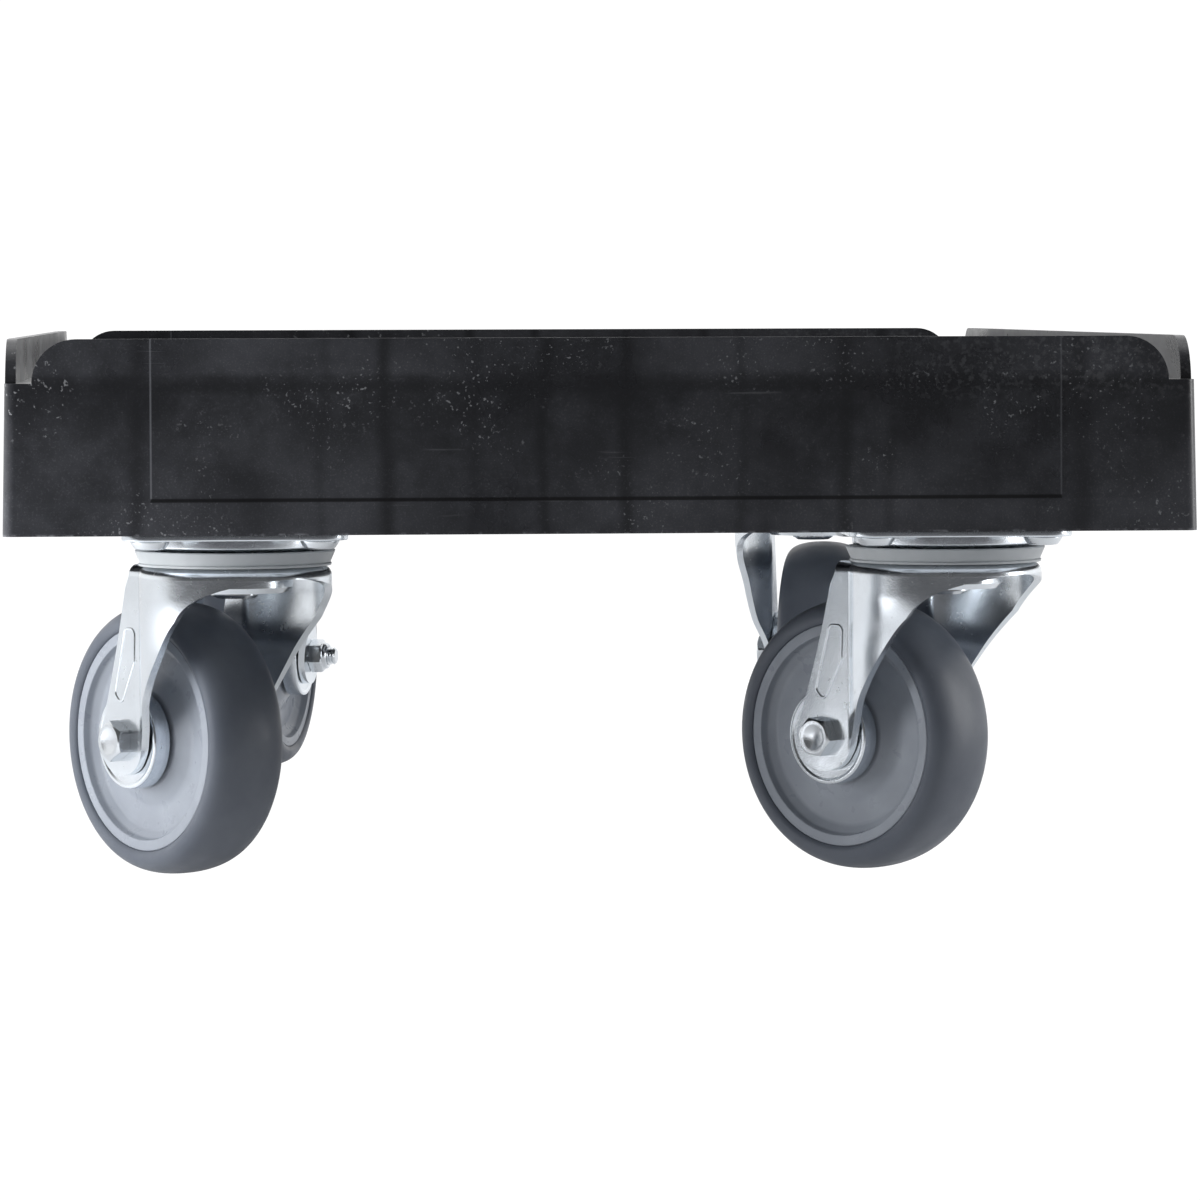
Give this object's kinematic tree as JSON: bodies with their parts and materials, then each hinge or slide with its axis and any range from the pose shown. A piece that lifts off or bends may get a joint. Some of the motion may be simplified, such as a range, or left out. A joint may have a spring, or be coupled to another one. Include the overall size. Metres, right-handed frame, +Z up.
{
  "type": "crate dolly",
  "caption": "Flat moulded deck with low rims that hold a stacking crate, carried at its corners on swivel casters with grey rubber-tyred wheels.",
  "frame": {"origin": "on the floor, at the centre of the whole dolly's box with the casters at rest; the deck's centre is 7 mm towards -Y from it, because the rear wheels trail out behind", "axes": "+X across the deck's width, +Y along its length, +Z up"},
  "size_m": [0.42, 0.6345, 0.1966],
  "materials": {
    "deck_plastic": "satin black moulded ABS with fine dust and scuffs",
    "zinc_plate": "bright zinc-plated pressed steel",
    "zinc_fastener": "bright zinc-plated fasteners",
    "ball_steel": "polished bearing steel",
    "bearing_steel": "ground steel",
    "insert_brass": "turned brass",
    "dust_ring_plastic": "light grey moulded plastic",
    "rim_plastic": "grey moulded polypropylene",
    "tyre_rubber": "smooth grey thermoplastic rubber"
  },
  "bodies": {
    "root": {"deck": "deck_plastic", "threaded_inserts": "insert_brass", "front_left_top_plate": "zinc_plate", "front_left_plate_screws": "zinc_fastener", "front_left_king_pin": "zinc_fastener", "front_left_race_cup": "zinc_plate", "front_right_top_plate": "zinc_plate", "front_right_plate_screws": "zinc_fastener", "front_right_king_pin": "zinc_fastener", "front_right_race_cup": "zinc_plate", "rear_left_top_plate": "zinc_plate", "rear_left_plate_screws": "zinc_fastener", "rear_left_king_pin": "zinc_fastener", "rear_left_race_cup": "zinc_plate", "rear_right_top_plate": "zinc_plate", "rear_right_plate_screws": "zinc_fastener", "rear_right_king_pin": "zinc_fastener", "rear_right_race_cup": "zinc_plate"},
    "front_left_swivel": {"front_left_swivel_balls": "ball_steel", "front_left_dust_ring": "dust_ring_plastic", "front_left_fork": "zinc_plate", "front_left_axle_bolt": "zinc_fastener", "front_left_axle_nut": "zinc_fastener", "front_left_thread_guards": "zinc_plate", "front_left_axle_sleeve": "bearing_steel"},
    "front_left_wheel": {"front_left_roller_bearing": "bearing_steel", "front_left_wheel_rim": "rim_plastic", "front_left_tyre": "tyre_rubber"},
    "front_right_swivel": {"front_right_swivel_balls": "ball_steel", "front_right_dust_ring": "dust_ring_plastic", "front_right_fork": "zinc_plate", "front_right_axle_bolt": "zinc_fastener", "front_right_axle_nut": "zinc_fastener", "front_right_thread_guards": "zinc_plate", "front_right_axle_sleeve": "bearing_steel"},
    "front_right_wheel": {"front_right_roller_bearing": "bearing_steel", "front_right_wheel_rim": "rim_plastic", "front_right_tyre": "tyre_rubber"},
    "rear_left_swivel": {"rear_left_swivel_balls": "ball_steel", "rear_left_dust_ring": "dust_ring_plastic", "rear_left_fork": "zinc_plate", "rear_left_axle_bolt": "zinc_fastener", "rear_left_axle_nut": "zinc_fastener", "rear_left_thread_guards": "zinc_plate", "rear_left_axle_sleeve": "bearing_steel"},
    "rear_left_wheel": {"rear_left_roller_bearing": "bearing_steel", "rear_left_wheel_rim": "rim_plastic", "rear_left_tyre": "tyre_rubber"},
    "rear_right_swivel": {"rear_right_swivel_balls": "ball_steel", "rear_right_dust_ring": "dust_ring_plastic", "rear_right_fork": "zinc_plate", "rear_right_axle_bolt": "zinc_fastener", "rear_right_axle_nut": "zinc_fastener", "rear_right_thread_guards": "zinc_plate", "rear_right_axle_sleeve": "bearing_steel"},
    "rear_right_wheel": {"rear_right_roller_bearing": "bearing_steel", "rear_right_wheel_rim": "rim_plastic", "rear_right_tyre": "tyre_rubber"}
  },
  "joints": [
    {"name": "front_left_swivel_turn", "type": "hinge", "parent": "root", "child": "front_left_swivel", "pos_m": [-0.129, -0.2445, 0.114], "axis": [0, 0, 1], "continuous": true},
    {"name": "front_left_wheel_spin", "type": "hinge", "parent": "front_left_swivel", "child": "front_left_wheel", "pos_m": [-0.15166, -0.21399, 0.05], "axis": [0.8028, 0.5962, 0], "continuous": true},
    {"name": "front_right_swivel_turn", "type": "hinge", "parent": "root", "child": "front_right_swivel", "pos_m": [0.129, -0.2445, 0.114], "axis": [0, 0, 1], "continuous": true},
    {"name": "front_right_wheel_spin", "type": "hinge", "parent": "front_right_swivel", "child": "front_right_wheel", "pos_m": [0.10208, -0.21768, 0.05], "axis": [0.7059, 0.7083, 0], "continuous": true},
    {"name": "rear_left_swivel_turn", "type": "hinge", "parent": "root", "child": "rear_left_swivel", "pos_m": [-0.129, 0.2305, 0.114], "axis": [0, 0, 1], "continuous": true},
    {"name": "rear_left_wheel_spin", "type": "hinge", "parent": "rear_left_swivel", "child": "rear_left_wheel", "pos_m": [-0.11891, 0.26714, 0.05], "axis": [0.9641, -0.2656, 0], "continuous": true},
    {"name": "rear_right_swivel_turn", "type": "hinge", "parent": "root", "child": "rear_right_swivel", "pos_m": [0.129, 0.2305, 0.114], "axis": [0, 0, 1], "continuous": true},
    {"name": "rear_right_wheel_spin", "type": "hinge", "parent": "rear_right_swivel", "child": "rear_right_wheel", "pos_m": [0.13748, 0.26754, 0.05], "axis": [0.9748, -0.2233, 0], "continuous": true}
  ]
}
